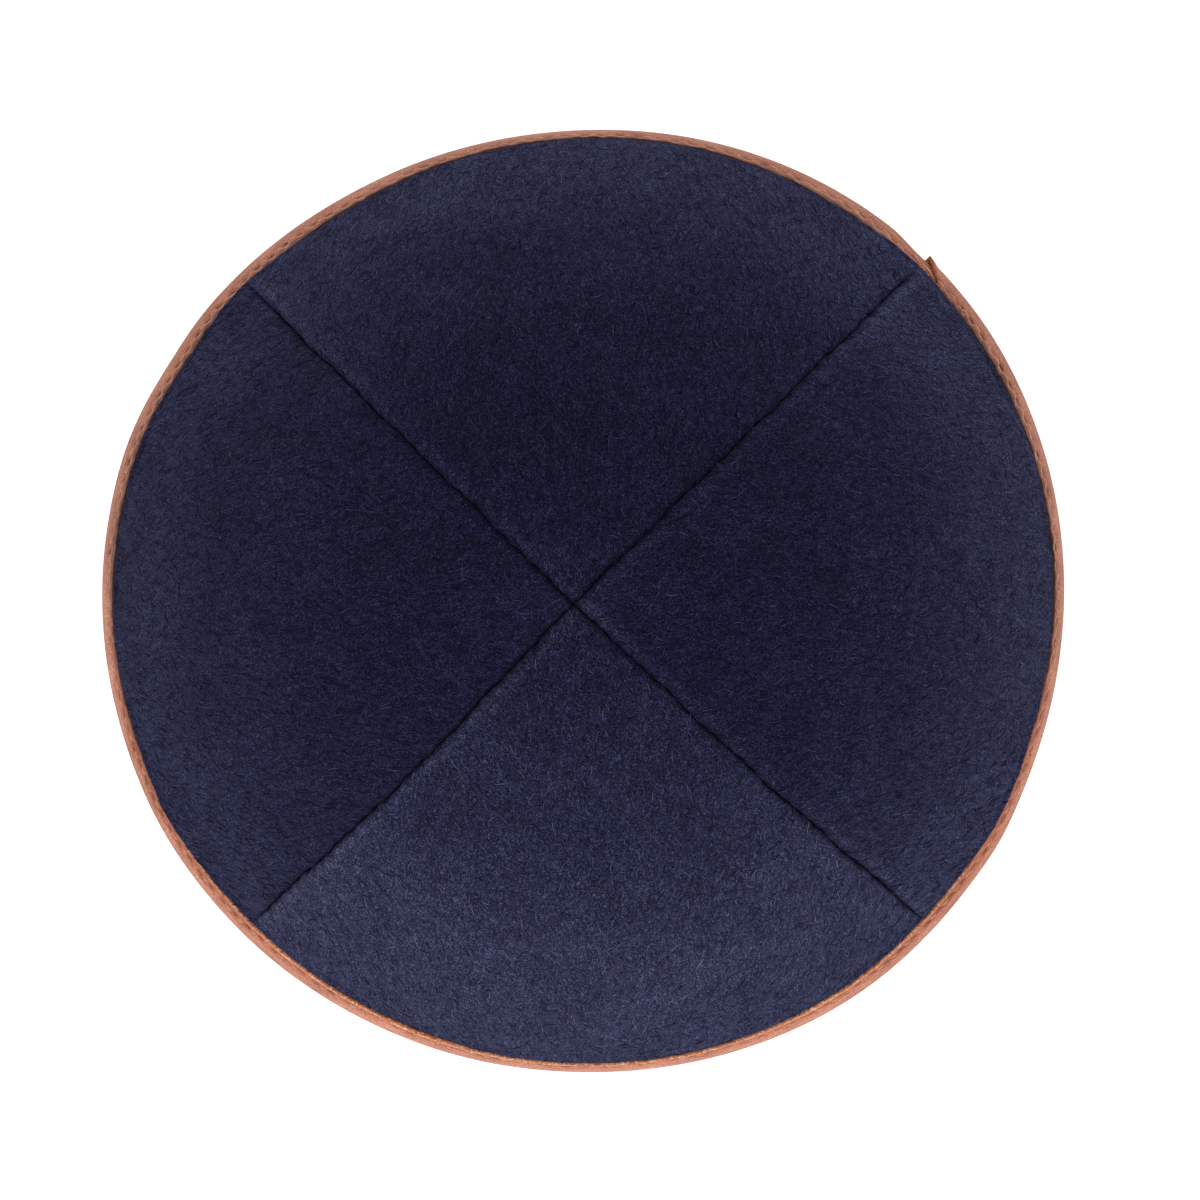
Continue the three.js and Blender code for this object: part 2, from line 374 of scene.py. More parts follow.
def row_columns(panel, r):
    """Azimuths across one row of a panel, and each one's distance from both of its edges."""
    near_rim = float(smooth(MEAN_RIM_RADIUS - 11, MEAN_RIM_RADIUS - 5, r))
    gap = blend(SEAM_GAP, RIM_GAP, near_rim)
    edge = math.asin(min(gap / 2 / r, 1))
    loose = SEAM_RUFFLE * (1 - near_rim) * float(smooth(2, 6, r)) / r
    from_edge = edge + loose * math.sin(2 * math.pi * r / 2.9 + 3 * panel_start(panel))
    to_edge = edge + loose * math.sin(2 * math.pi * r / 3.7 + 5 * panel_start(panel))
    shift_from = seam_shift(SEAMS[panel["from"]], r)
    shift_to = seam_shift(SEAMS[panel["to"]], r)
    start = panel_start(panel) + shift_from + from_edge
    width = max(panel_width(panel) + shift_to - shift_from - from_edge - to_edge, 0) * r
    places = column_places(width)
    return start + places / r, places, width - places


def roll_depth(distance):
    """How far the cloth rolls down into a seam, by distance from its edge."""
    rest = np.maximum(SEAM_ROLL - distance, 0)
    return SEAM_ROLL - np.sqrt(SEAM_ROLL**2 - rest**2)


def shoulder_swell(azimuth):
    """How far the wool swells out just above the tight leather."""
    return SHOULDER_SWELL + around(azimuth, WOOL_PUFFS) + 0.06 * ripple(azimuth, 83, (23, 41, 59, 83))


def painted_wool_shading(panel, from_edge, to_edge, r, step):
    """Painted light and shade on the cloth: the front panel painted lighter as its nap lies towards the
    light, a painted sheen towards the rim, and painted highlight and shade beside the seams.
    """
    # Painted light: lighter at the tip, and a painted sheen towards the rim, where the sloping wool catches
    # more light
    shade = PAINTED_SHADING["plain"] + PAINTED_SHADING["tip"] * bell(r, 0, 11)
    shade = shade + PAINTED_SHADING["middle"] * smooth(42, 62, r) + PAINTED_SHADING["rim"] * smooth(60, 84, r)
    # Painted light: the front panel lighter, as its nap lies towards the light, less so at its rim
    if panel["name"] == "front":
        shade = shade * (1 + 0.82 * smooth(2, 30, r) + 0.26 * smooth(40, 60, r) - 1.05 * smooth(60, 84, r))
    # Painted shade: the left panel darker towards its rim, against the lamps' light there
    if panel["name"] == "left":
        shade = shade * (1 - 0.2 * smooth(52, 76, r))
    # Painted highlight on each seam's raised side, painted shade on its low side
    for side, distance in (("from", from_edge), ("to", to_edge)):
        if SEAMS[panel[side]]["raised"] == panel["name"]:
            shade = shade * (1 + PAINTED_SHADING["high_side"] * bell(distance, 1.4, 1.0))
        else:
            shade = shade * (1 - PAINTED_SHADING["low_side"] * (1 - smooth(0.4, 3.6, distance)))
    # Painted shade in the seam's roll, together with its crushed wool
    pressed = smooth(0.05, 0.8, np.minimum(from_edge, to_edge))
    return shade * blend(PAINTED_SHADING["in_seam"], 1, np.maximum(pressed, smooth(0.97, 1, step)))


def seam_relief(panel, from_edge, to_edge, along):
    """How far the cloth stands up beside its two seams, puckered where the thread pulls."""
    relief = 0
    for side, distance in (("from", from_edge), ("to", to_edge)):
        seam = SEAMS[panel[side]]
        puff = SEAM_PUFF * bell(distance, 1.6, 1.3)
        raised = SEAM_RISE * (1 - smooth(1.5, 6.5, distance)) if seam["raised"] == panel["name"] else 0
        offset = 0.0 if side == "from" else 0.4
        pull = 0.5 + 0.5 * np.cos(2 * math.pi * (along / PUCKER_PITCH + offset))
        pucker = PUCKER_DEPTH * pull * bell(distance, 0.9, 0.9)
        relief = relief + puff + raised - pucker
    return relief


def place_points(azimuth, r, z):
    return np.stack([CROWN_TIP[0] + r * np.cos(azimuth), CROWN_TIP[1] + r * np.sin(azimuth), z], axis=-1)


# Meshes from grids of points

def new_object(name, points, faces, values=None, uvs=None):
    """A mesh object in metres, from points in mm and quads."""
    mesh = bpy.data.meshes.new(name)
    mesh.vertices.add(len(points))
    mesh.vertices.foreach_set("co", (points * MM).astype(np.float32).ravel())
    faces = np.asarray(faces, dtype=np.int32)
    mesh.loops.add(faces.size)
    mesh.loops.foreach_set("vertex_index", faces.ravel())
    mesh.polygons.add(len(faces))
    mesh.polygons.foreach_set("loop_start", np.arange(0, faces.size, 4, dtype=np.int32))
    if uvs is not None:
        layer = mesh.uv_layers.new(name="surface")
        layer.data.foreach_set("uv", uvs[faces.ravel()].astype(np.float32).ravel())
    for key, value in (values or {}).items():
        vector = value.ndim == 2
        attribute = mesh.attributes.new(key, "FLOAT_VECTOR" if vector else "FLOAT", "POINT")
        attribute.data.foreach_set("vector" if vector else "value", value.astype(np.float32).ravel())
    mesh.update(calc_edges=True)
    mesh.validate()
    mesh.polygons.foreach_set("use_smooth", np.ones(len(mesh.polygons), dtype=bool))
    obj = bpy.data.objects.new(name, mesh)
    bpy.context.collection.objects.link(obj)
    return obj


def merge_doubles(obj):
    """Merges points that coincide, drops faces with no area and turns the faces outwards."""
    work = bmesh.new()
    work.from_mesh(obj.data)
    bmesh.ops.remove_doubles(work, verts=work.verts, dist=1e-7)
    bmesh.ops.dissolve_degenerate(work, edges=work.edges, dist=1e-8)
    bmesh.ops.recalc_face_normals(work, faces=work.faces)
    work.to_mesh(obj.data)
    work.free()
    obj.data.update()


def grid_faces(rows, columns, start=0, closed=False):
    """Quads of a grid whose columns may close on themselves."""
    row = np.arange(rows - 1)[:, None]
    column = np.arange(columns if closed else columns - 1)[None, :]
    following = (column + 1) % columns
    corners = [row * columns + column, row * columns + following,
               (row + 1) * columns + following, (row + 1) * columns + column]
    return start + np.stack(corners, axis=-1).reshape(-1, 4)


def closing_faces(first, columns):
    """Quads across a loop of points that runs out and back, from the number of its first point."""
    place = np.arange(columns // 2 - 1)
    return first + np.stack([place, place + 1, columns - 2 - place, columns - 1 - place], axis=-1)


# The wool panels

def crown_rows(panel):
    """The outer and inner faces of a panel above the binding, one row for each step down the crown."""
    middle = np.array(panel_start(panel) + panel_width(panel) / 2)
    corner = SEAM_GAP / 2 / math.sin(panel_width(panel) / 2)
    rows = []
    for step in np.linspace(0, 1, CROWN_ROWS) ** ROW_SPREAD:
        mean_r = float(crown_point(panel, middle, step)[0])
        azimuth, from_edge, to_edge = row_columns(panel, max(mean_r, corner))
        r, z, lean = crown_point(panel, azimuth, step)
        r = np.maximum(r, corner)
        rows.append((azimuth, r, z, lean, from_edge, to_edge, np.full_like(r, step)))
    return [np.array(values) for values in zip(*rows)]


def arc_lengths(points):
    """Distance down each column from the tip."""
    steps = np.linalg.norm(np.diff(points, axis=0), axis=-1)
    return np.concatenate([np.zeros((1, points.shape[1])), np.cumsum(steps, axis=0)])


def panel_surfaces(panel, seed):
    azimuth, r, z, lean, from_edge, to_edge, step = crown_rows(panel)
    distance = np.minimum(from_edge, to_edge)
    plain = place_points(azimuth, r, z)
    along = arc_lengths(plain)
    near_rim = smooth(ALLOWANCE_END, 1, step)
    relief = sum(height * lumps(plain, wavelength, seed + i)
                 for i, (wavelength, height) in enumerate(WOOL_LUMPS))
    relief = relief * smooth(0, 3, along) + seam_relief(panel, from_edge, to_edge, along) * (1 - near_rim)
    swell = smooth(0.925, 0.995, step) * shoulder_swell(azimuth)
    roll = roll_depth(distance) * blend(1, ROLL_LEFT_AT_RIM, smooth(0.95, 1, step))
    depth = roll - relief - swell
    outer = place_points(azimuth, r - depth * np.sin(lean), z - depth * np.cos(lean))
    beyond_flap = smooth(ALLOWANCE_WIDTH - ALLOWANCE_TAPER, ALLOWANCE_WIDTH, distance)
    depth = WOOL + ALLOWANCE * (1 - near_rim) * (1 - beyond_flap) - 0.5 * relief * beyond_flap
    inner = place_points(azimuth, r - depth * np.sin(lean), z - depth * np.cos(lean))
    return outer, inner, along, azimuth, painted_wool_shading(panel, from_edge, to_edge, r, step)


def tucked_rows(panel, side):
    """Rows of the wool where it tucks in behind the leather, on its outer side, 1, or inner side, -1."""
    half = PRESSED_WOOL / 2
    azimuth = row_columns(panel, MEAN_RIM_RADIUS)[0]
    slope, _ = rim_frame(azimuth)
    swell = shoulder_swell(azimuth)
    drop = LOW_EDGE_DROP * around(azimuth, LOW_EDGES) if side > 0 else 0
    spots = [(out + share * swell, up - drop) for out, share, up in (OUTER_TUCK if side > 0 else INNER_TUCK)]
    foot = LEATHER + BINDING_GAP
    for up in (*HIDDEN_TUCK, (foot - side * half * np.cos(slope)) / np.sin(slope)):
        spots.append((side * half, up))
    return np.array([place_points(azimuth, *rim_point(azimuth, out, up)) for out, up in spots])


def build_panel(panel, seed):
    outer, inner, along, azimuth, shade = panel_surfaces(panel, seed)
    tucked_out, tucked_in = tucked_rows(panel, 1), tucked_rows(panel, -1)
    tucked_length = along[-1] + 1.0 + np.arange(len(tucked_out))[:, None]
    along = np.concatenate([along, tucked_length])
    azimuth = np.concatenate([azimuth, np.repeat(azimuth[-1:], len(tucked_out), axis=0)])
    shade = np.concatenate([shade, np.repeat(shade[-1:], len(tucked_out), axis=0)])
    outer = np.concatenate([outer, tucked_out])
    inner = np.concatenate([inner, tucked_in])
    loops = np.concatenate([outer, inner[:, ::-1]], axis=1)
    rows, columns = loops.shape[:2]
    faces = grid_faces(rows, columns, closed=True)
    foot = closing_faces((rows - 1) * columns, columns)
    turn = azimuth - (panel_start(panel) + panel_width(panel) / 2)
    flat = np.stack([along * np.sin(turn), along * np.cos(turn)], axis=-1) / 100
    flat = np.concatenate([flat, flat[:, ::-1] + 2], axis=1)
    shades = np.concatenate([shade, 0 * shade + 1], axis=1)
    piece = new_object(f"wool_panel_{panel['name']}", loops.reshape(-1, 3), np.concatenate([faces, foot]),
                       values={"shade": shades.ravel()}, uvs=flat.reshape(-1, 2))
    merge_doubles(piece)
    return piece, outer[:ROWS_WITH_FIBRES], shade[:ROWS_WITH_FIBRES]


def fibre_ground(panel, outer, shade):
    """A plain sheet of the panel's outer face, with the way its nap lies and its painted light and shade, for
    the fibres to grow on.
    """
    points = outer.reshape(-1, 3)
    middle = panel_start(panel) + panel_width(panel) / 2
    nap = np.tile([math.cos(middle), math.sin(middle), -0.3], (len(points), 1))
    faces = grid_faces(*outer.shape[:2])[:, ::-1]
    values = {"nap": nap, "shade": shade.ravel()}
    return new_object(f"wool_fibres_{panel['name']}", points, faces, values=values)


def join_row(azimuth, top, bottom):
    """The corners of one row of a seam's strip, from the radius and height of its top and bottom."""
    across = JOIN["half"] * np.array([-math.sin(azimuth), math.cos(azimuth), 0])
    corners = ((top, -1), (top, 1), (bottom, 1), (bottom, -1))
    return [place_points(azimuth, *end) + side * across for end, side in corners]


def build_seam_thread(material):
    """The sewn line at the bottom of each seam, one closed strip from the tip to the binding."""
    points, faces = [], []
    for panel in PANELS:
        seam = SEAMS[panel["from"]]
        plain = np.array(math.radians(seam["azimuth"]))
        r_of_step, z_of_step, lean_of_step = crown_point(panel, plain, np.linspace(0, 1, 400))
        rows = []
        for r in JOIN_RADII[JOIN_RADII < r_of_step[-1]]:
            z, lean = np.interp(r, r_of_step, z_of_step), np.interp(r, r_of_step, lean_of_step)
            azimuth = plain + seam_shift(seam, max(r, 1.0))
            bottom = blend(JOIN["bottom"], JOIN["rim_bottom"], smooth(0.86, 0.95, r / r_of_step[-1]))
            down = np.array([math.sin(lean), math.cos(lean)])
            rows.append(join_row(azimuth, (r, z) - JOIN["top"] * down, (r, z) - bottom * down))
        for up, out in JOIN_TUCK:
            rows.append(join_row(plain, rim_point(plain, out, up), rim_point(plain, JOIN_TUCK_BOTTOM, up)))
        first = sum(len(part) for part in points)
        last = first + 4 * (len(rows) - 1)
        points.append(np.array(rows).reshape(-1, 3))
        faces.append(grid_faces(len(rows), 4, start=first, closed=True))
        faces += [closing_faces(first, 4), closing_faces(last, 4)]
    piece = new_object("seam_thread", np.concatenate(points), np.concatenate(faces))
    merge_doubles(piece)
    piece.data.materials.append(material)
    return piece


# Node trees

def operator(operation, reflected=False):
    """A method that answers one of Python's operators with a maths node."""
    def answer(self, other):
        terms = (other, self) if reflected else (self, other)
        return self.board.node("ShaderNodeMath", {"operation": operation}, dict(enumerate(terms)))
    return answer


class Signal:
    """One socket of a node tree, so that maths on it reads as a Python expression."""

    def __init__(self, board, socket):
        self.board = board
        self.socket = socket

    __add__ = operator("ADD")
    __radd__ = operator("ADD", reflected=True)
    __sub__ = operator("SUBTRACT")
    __rsub__ = operator("SUBTRACT", reflected=True)
    __mul__ = operator("MULTIPLY")
    __rmul__ = operator("MULTIPLY", reflected=True)
    __truediv__ = operator("DIVIDE")
    __pow__ = operator("POWER")

    def __abs__(self):
        return self.board.node("ShaderNodeMath", {"operation": "ABSOLUTE"}, {0: self})

    def beside(self, name):
        """Another output of the same node."""
        return Signal(self.board, pick_socket(self.socket.node.outputs, name))

    def rise(self, low, high):
        """0 below low and 1 above high, smooth between."""
        ends = {"Value": self, "From Min": low, "From Max": high}
        return self.board.node("ShaderNodeMapRange", {"interpolation_type": "SMOOTHSTEP"}, ends)


class Board:
    """A node tree being wired."""

    def __init__(self, tree):
        self.tree = tree

    def node(self, kind, settings=None, sockets=None, output=0):
        """Adds a node, its settings first and then its sockets, and returns one of its outputs."""
        node = self.tree.nodes.new(kind)
        for name, value in (settings or {}).items():
            setattr(node, name, value)
        for place, value in (sockets or {}).items():
            socket = pick_socket(node.inputs, place)
            for part in value if isinstance(value, list) else [value]:
                if isinstance(part, Signal):
                    self.tree.links.new(part.socket, socket)
                else:
                    socket.default_value = part
        if not node.outputs:
            return node
        return Signal(self, pick_socket(node.outputs, output))

    def mix(self, factor, first, second, blend_type="MIX"):
        """A colour between two others."""
        settings = {"data_type": "RGBA", "blend_type": blend_type}
        return self.node("ShaderNodeMix", settings, {0: factor, 6: colour(first), 7: colour(second)}, 2)

    def ramp(self, factor, stops):
        """Colours between stops, by a factor."""
        found = self.node("ShaderNodeValToRGB", {}, {"Fac": factor}, "Color")
        set_stops(found.socket.node.color_ramp, stops)
        return found

    def attribute(self, name):
        return self.node("ShaderNodeAttribute", {"attribute_name": name}, {}, "Fac")

    def place(self):
        """The point's place on the object, in metres."""
        return self.node("ShaderNodeTexCoord", {}, {}, "Object")

    def bump(self, height, strength, distance):
        return self.node("ShaderNodeBump", {}, {"Strength": strength, "Distance": distance, "Height": height})

    def noise(self, vector, scale, detail=3.0, roughness=0.55, distortion=0.0):
        sockets = {"Vector": vector, "Scale": scale, "Detail": detail, "Roughness": roughness,
                   "Distortion": distortion}
        return self.node("ShaderNodeTexNoise", {}, sockets, "Fac")

    def stretched(self, vector, scale, turn=0.0):
        """Coordinates turned about Z and then stretched, for streaks."""
        rotation = (0, 0, math.radians(turn))
        turned = self.node("ShaderNodeMapping", {}, {"Vector": vector, "Rotation": rotation})
        return self.node("ShaderNodeMapping", {}, {"Vector": turned, "Scale": scale})


def pick_socket(sockets, place):
    """A socket by its number, or the first one in use with that name."""
    if isinstance(place, int):
        return sockets[place]
    return next(socket for socket in sockets if socket.name == place and socket.enabled)


def set_stops(ramp, stops):
    while len(ramp.elements) > 1:
        ramp.elements.remove(ramp.elements[-1])
    ramp.elements[0].position = stops[0][0]
    ramp.elements[0].color = colour(stops[0][1])
    for position, value in stops[1:]:
        ramp.elements.new(position).color = colour(value)


def colour(value):
    """A colour with its alpha, or a signal left as it is."""
    if isinstance(value, Signal) or len(value) == 4:
        return value
    return (*value, 1.0)


def new_finish(name):
    material = bpy.data.materials.new(name)
    material.use_nodes = True
    material.node_tree.nodes.clear()
    return material, Board(material.node_tree)


def finish_surface(board, sockets):
    surface = board.node("ShaderNodeBsdfPrincipled", {}, sockets, "BSDF")
    board.node("ShaderNodeOutputMaterial", {}, {"Surface": surface})


# Finishes

def fine_fibres(board, flat, scale, turn, share, sharpness):
    """Thin curled lines lying near one direction, from the middle level of stretched noise."""
    field = board.noise(board.stretched(flat, (*scale, 1), turn), 1.0, 1.0, 0.5, 0.35)
    return (1 - abs(field * 2 - 1)) ** sharpness * share


def with_painted_shading(board, base):
    """A wool colour with painted light and shade multiplied in from the shade attribute, less so in its blue.
    """
    shade = board.attribute("shade")
    light = board.node("ShaderNodeCombineXYZ", {}, {"X": shade, "Y": shade, "Z": shade ** 0.68})
    return board.node("ShaderNodeVectorMath", {"operation": "MULTIPLY"}, {0: base, 1: light})


def wool_finish():
    """Matted navy wool: crossed lines of pale fibre over dark cloth and soft mottling."""
    material, board = new_finish("navy_wool")
    flat = board.node("ShaderNodeUVMap", {"uv_map": "surface"})
    place = board.place()
    curl = board.node("ShaderNodeTexNoise", {}, {"Vector": flat, "Scale": 60.0, "Detail": 2.0}, "Color")
    bent = board.node("ShaderNodeVectorMath", {"operation": "MULTIPLY_ADD"}, {
        0: curl, 1: (0.02, 0.02, 0.0), 2: flat})
    lines = sum(fine_fibres(board, bent, *line) for line in WOOL_LINES)
    grain = board.noise(place, 4000.0, 2.0, 0.6)
    clumps = board.noise(place, 520.0, 3.0, 0.6)
    mottle = board.noise(place, 75.0, 3.0, 0.6)
    weight = lines * (clumps.rise(0.3, 0.7) * 0.1 + 0.87) + grain.rise(0.3, 0.7) * 0.55
    tone = weight * (mottle.rise(0.25, 0.75) * 0.07 + 0.58)
    base = board.ramp(tone, [
        (0.0, (0.0015, 0.0016, 0.006)), (0.25, (0.0075, 0.0080, 0.023)), (0.45, (0.0235, 0.0248, 0.058)),
        (0.65, (0.064, 0.067, 0.138)), (0.88, (0.185, 0.192, 0.33))])
    warm = board.noise(place, 1100.0, 1.0).rise(0.6, 0.72) * 0.4
    base = board.mix(warm, base, (0.040, 0.025, 0.040))
    # Painted light and shade from the panel's shade attribute
    base = with_painted_shading(board, base)
    height = lines * 0.6 + grain * 0.6 + clumps * 0.12
    bump = board.bump(height, 0.5, 0.00032)
    finish_surface(board, {
        "Base Color": base, "Roughness": 0.9, "Normal": bump,
        "Sheen Weight": 0.1, "Sheen Roughness": 0.4, "Sheen Tint": (0.45, 0.5, 0.9, 1.0),
        "Specular IOR Level": 0.08})
    return material


def fibre_finish():
    """Loose wool fibres: mostly navy, some paler, a few brownish."""
    material, board = new_finish("wool_fibre")
    tone = board.attribute("tone")
    base = board.ramp(tone, [
        (0.0, (0.017, 0.0180, 0.045)), (0.45, (0.030, 0.0318, 0.071)), (0.75, (0.060, 0.063, 0.126)),
        (0.92, (0.140, 0.147, 0.245)), (0.965, (0.250, 0.260, 0.370)), (0.985, (0.085, 0.050, 0.060))])
    # The fibres take the same painted light and shade as the wool under them
    base = with_painted_shading(board, base)
    finish_surface(board, {"Base Color": base, "Roughness": 0.8, "Specular IOR Level": 0.12})
    return material


def seam_finish():
    """Navy thread and crushed wool at the bottom of the seams, painted almost black as the shade deep in the
    groove.
    """
    material, board = new_finish("navy_thread_in_painted_shade")
    place = board.place()
    # Painted shade: near black, darker than the navy wool
    base = board.ramp(board.noise(place, 1800.0), [
        (0.3, (0.002, 0.002, 0.005)), (0.7, (0.008, 0.008, 0.018))])
    finish_surface(board, {"Base Color": base, "Roughness": 0.9, "Specular IOR Level": 0.05})
    return material


def leather_finish():
    """Tan leather: fine streaks along the strip, with painted light and shade: the body darker towards the
    back, raw edges painted in shadow at the back and lit at the front, a painted darker lip at the sides
    turning lit orange at the front, and painted shade in the needle holes.
    """
    material, board = new_finish("tan_leather")
    flat = board.node("ShaderNodeUVMap", {"uv_map": "surface"})
    place = board.place()
    raw, pinch, lip, lower = (board.attribute(name)
                              for name in ("raw", "pinch", "lip", "lower"))
    streaks = board.noise(board.stretched(flat, (18, 300, 1)), 1.0, 2.0, 0.5)
    fine = board.noise(board.stretched(flat, (150, 700, 1), 4), 1.0, 3.0, 0.65)
    pores = board.noise(place, 2600.0, 2.0)
    patches = board.noise(place, 110.0, 3.0)
    base = board.ramp(streaks * 0.22 + fine * 0.32 + pores * 0.28 + patches * 0.18, [
        (0.375, (0.26, 0.084, 0.049)), (0.5, (0.52, 0.188, 0.111)), (0.625, (0.88, 0.41, 0.275))])
    # Painted shade: the strip's body darker towards the back, lit more towards the front
    painted_body_shade = board.ramp(lower, [
        (0.25, (0.84, 0.81, 0.80)), (0.5, (0.94, 0.97, 1.0)), (0.75, (1.0, 1.0, 1.0))])
    # Painted light and shade on the lip: darker at the sides, a lit orange towards the front
    painted_lip_shading = board.ramp(lower, [
        (0.35, (1.0, 1.0, 1.0)), (0.5, (0.70, 0.64, 0.58)), (0.64, (0.74, 0.52, 0.34)),
        (0.8, (0.74, 0.52, 0.34)), (0.95, (0.76, 0.61, 0.50))])
    # Painted shadow along the top edge beside the wool, dark at the back, fading towards the front
    painted_edge_shadow = board.ramp(lower, [
        (0.35, (0.44, 0.41, 0.40)), (0.5, (0.50, 0.44, 0.40)), (0.64, (0.90, 0.86, 0.86)),
        (0.8, (0.95, 0.92, 0.92)), (0.93, (1.0, 1.0, 1.0))])
    base = board.mix(1.0, base, painted_body_shade, "MULTIPLY")
    # The lip's painted light reaches wider towards the front
    wide_lip = lip + (lower.rise(0.5, 0.66) - lower.rise(0.84, 0.96) * 0.7) * 0.2
    base = board.mix(wide_lip.rise(0.35, 0.68), base, painted_lip_shading, "MULTIPLY")
    base = board.mix(lip.rise(0.68, 0.93), base, painted_edge_shadow, "MULTIPLY")
    fuzz = board.noise(place, 2300.0, 2.0)
    # The raw edges: painted lit orange with pale glints towards the front, painted dark shadow towards the
    # back
    painted_lit_edge = board.ramp(fuzz, [
        (0.3, (0.52, 0.14, 0.048)), (0.54, (0.90, 0.31, 0.13)), (0.66, (1.0, 0.74, 0.54))])
    painted_shadowed_edge = board.ramp(fuzz, [
        (0.35, (0.035, 0.012, 0.007)), (0.7, (0.17, 0.06, 0.028))])
    base = board.mix(raw, base, board.mix(lower.rise(0.5, 0.95), painted_shadowed_edge, painted_lit_edge))
    # Painted shade in the needle holes, where the thread pinches the leather
    base = board.mix(pinch.rise(0.1, 0.6) * 0.92, base, (0.045, 0.014, 0.008))
    base = board.mix(pores.rise(0.62, 0.75) * 0.3, base, (0.2, 0.07, 0.042))
    height = streaks * 0.15 + fine * 0.4 + pores * 0.5
    bump = board.bump(height, 0.6, 0.0003)
    finish_surface(board, {
        "Base Color": base, "Roughness": fine * 0.2 + raw * 0.2 + 0.45, "Normal": bump,
        "Specular IOR Level": 0.35})
    return material


def thread_finish():
    """Tan thread, twisted."""
    material, board = new_finish("tan_thread")
    place = board.place()
    twist = board.noise(place, 2500.0, 2.0)
    base = board.ramp(twist, [
        (0.3, (0.42, 0.15, 0.07)), (0.7, (0.80, 0.36, 0.2))])
    bump = board.bump(twist, 0.4, 0.0002)
    finish_surface(board, {"Base Color": base, "Roughness": twist * 0.2 + 0.45, "Normal": bump})
    return material


# Geometry Nodes

def new_tree(name, inputs):
    """A geometry tree with named inputs. Returns its board and each input's Signal."""
    tree = bpy.data.node_groups.new(name, "GeometryNodeTree")
    tree.interface.new_socket("Geometry", in_out="INPUT", socket_type="NodeSocketGeometry")
    for label, kind in inputs.items():
        tree.interface.new_socket(label, in_out="INPUT", socket_type=kind)
    tree.interface.new_socket("Geometry", in_out="OUTPUT", socket_type="NodeSocketGeometry")
    board = Board(tree)
    entry = board.node("NodeGroupInput")
    return board, {label: entry.beside(label) for label in ("Geometry", *inputs)}


def finish_tree(board, geometry, material):
    """Ends a tree: instances made real, then their material."""
    real = board.node("GeometryNodeRealizeInstances", {}, {"Geometry": geometry})
    painted = board.node("GeometryNodeSetMaterial", {}, {"Geometry": real, "Material": material})
    board.node("NodeGroupOutput", {}, {"Geometry": painted})


def run_tree(obj, board, values):
    """Runs a tree on an object and turns the result into its plain mesh."""
    modifier = obj.modifiers.new("grow", "NODES")
    modifier.node_group = board.tree
    for item in board.tree.interface.items_tree:
        if item.in_out == "INPUT" and item.name in values:
            modifier[item.identifier] = values[item.name]
    evaluated = obj.evaluated_get(bpy.context.evaluated_depsgraph_get())
    mesh = bpy.data.meshes.new_from_object(evaluated)
    obj.modifiers.clear()
    obj.data = mesh


def random_number(board, low, high, seed):
    return board.node("FunctionNodeRandomValue", {"data_type": "FLOAT"}, {2: low, 3: high, 8: seed}, 1)


def stored_vector(board, name):
    settings = {"data_type": "FLOAT_VECTOR"}
    return board.node("GeometryNodeInputNamedAttribute", settings, {"Name": name}, "Attribute")


def facing(board, up, forward):
    """The turn that points Z up and X forward."""
    return board.node("FunctionNodeAxesToRotation", {"primary_axis": "Z", "secondary_axis": "X"}, {
        "Primary Axis": up, "Secondary Axis": forward})


def tube_along(board, curve, thickness, sides):
    """A closed tube along a curve, thin at both ends."""
    part = board.node("GeometryNodeSplineParameter", {}, {}, "Factor")
    radius = (part * (1 - part) * 4) ** 0.6 * thickness + thickness * 0.15
    ring = board.node("GeometryNodeCurvePrimitiveCircle", {"mode": "RADIUS"}, {
        "Resolution": sides, "Radius": 1.0})
    sockets = {"Curve": curve, "Profile Curve": ring, "Scale": radius, "Fill Caps": True}
    return board.node("GeometryNodeCurveToMesh", {}, sockets)


def fibre_tree():
    """Bent slivers laid near the nap all over a sheet."""
    board, given = new_tree("lay_fibres", {
        "Density": "NodeSocketFloat", "Length": "NodeSocketFloat", "Thickness": "NodeSocketFloat",
        "Seed": "NodeSocketInt", "Material": "NodeSocketMaterial"})
    kinds = []
    for bend, lift in FIBRE_KINDS:
        curve = board.node("GeometryNodeCurveQuadraticBezier", {}, {
            "Resolution": 2, "Start": (-0.5, 0, 0), "Middle": (0, bend, lift), "End": (0.5, 0, 0.01)})
        sliver = tube_along(board, curve, given["Thickness"] / given["Length"], 3)
        kinds.append(board.node("GeometryNodeGeometryToInstance", {}, {"Geometry": sliver}))
    kinds = board.node("GeometryNodeJoinGeometry", {}, {"Geometry": kinds})
    scatter = {"Mesh": given["Geometry"], "Density": given["Density"], "Seed": given["Seed"]}
    points = board.node("GeometryNodeDistributePointsOnFaces", {}, scatter, "Points")
    normal = points.beside("Normal")
    stray = random_number(board, -1.0, 1.0, given["Seed"] + 1)
    wild = random_number(board, 0.0, 1.0, given["Seed"] + 2).rise(0.55, 0.9) * 1.1 + 0.5
    turned = board.node("ShaderNodeVectorRotate", {"rotation_type": "AXIS_ANGLE"}, {
        "Vector": stored_vector(board, "nap"), "Axis": normal, "Angle": stray * wild})
    size = random_number(board, 0.45, 1.5, given["Seed"] + 3) * given["Length"]
    laid = board.node("GeometryNodeInstanceOnPoints", {}, {
        "Points": points, "Instance": kinds, "Pick Instance": True,
        "Rotation": facing(board, normal, turned), "Scale": size})
    toned = board.node("GeometryNodeStoreNamedAttribute", {"data_type": "FLOAT", "domain": "INSTANCE"}, {
        "Geometry": laid, "Name": "tone", "Value": random_number(board, 0.0, 1.0, given["Seed"] + 4)})
    finish_tree(board, toned, given["Material"])
    return board


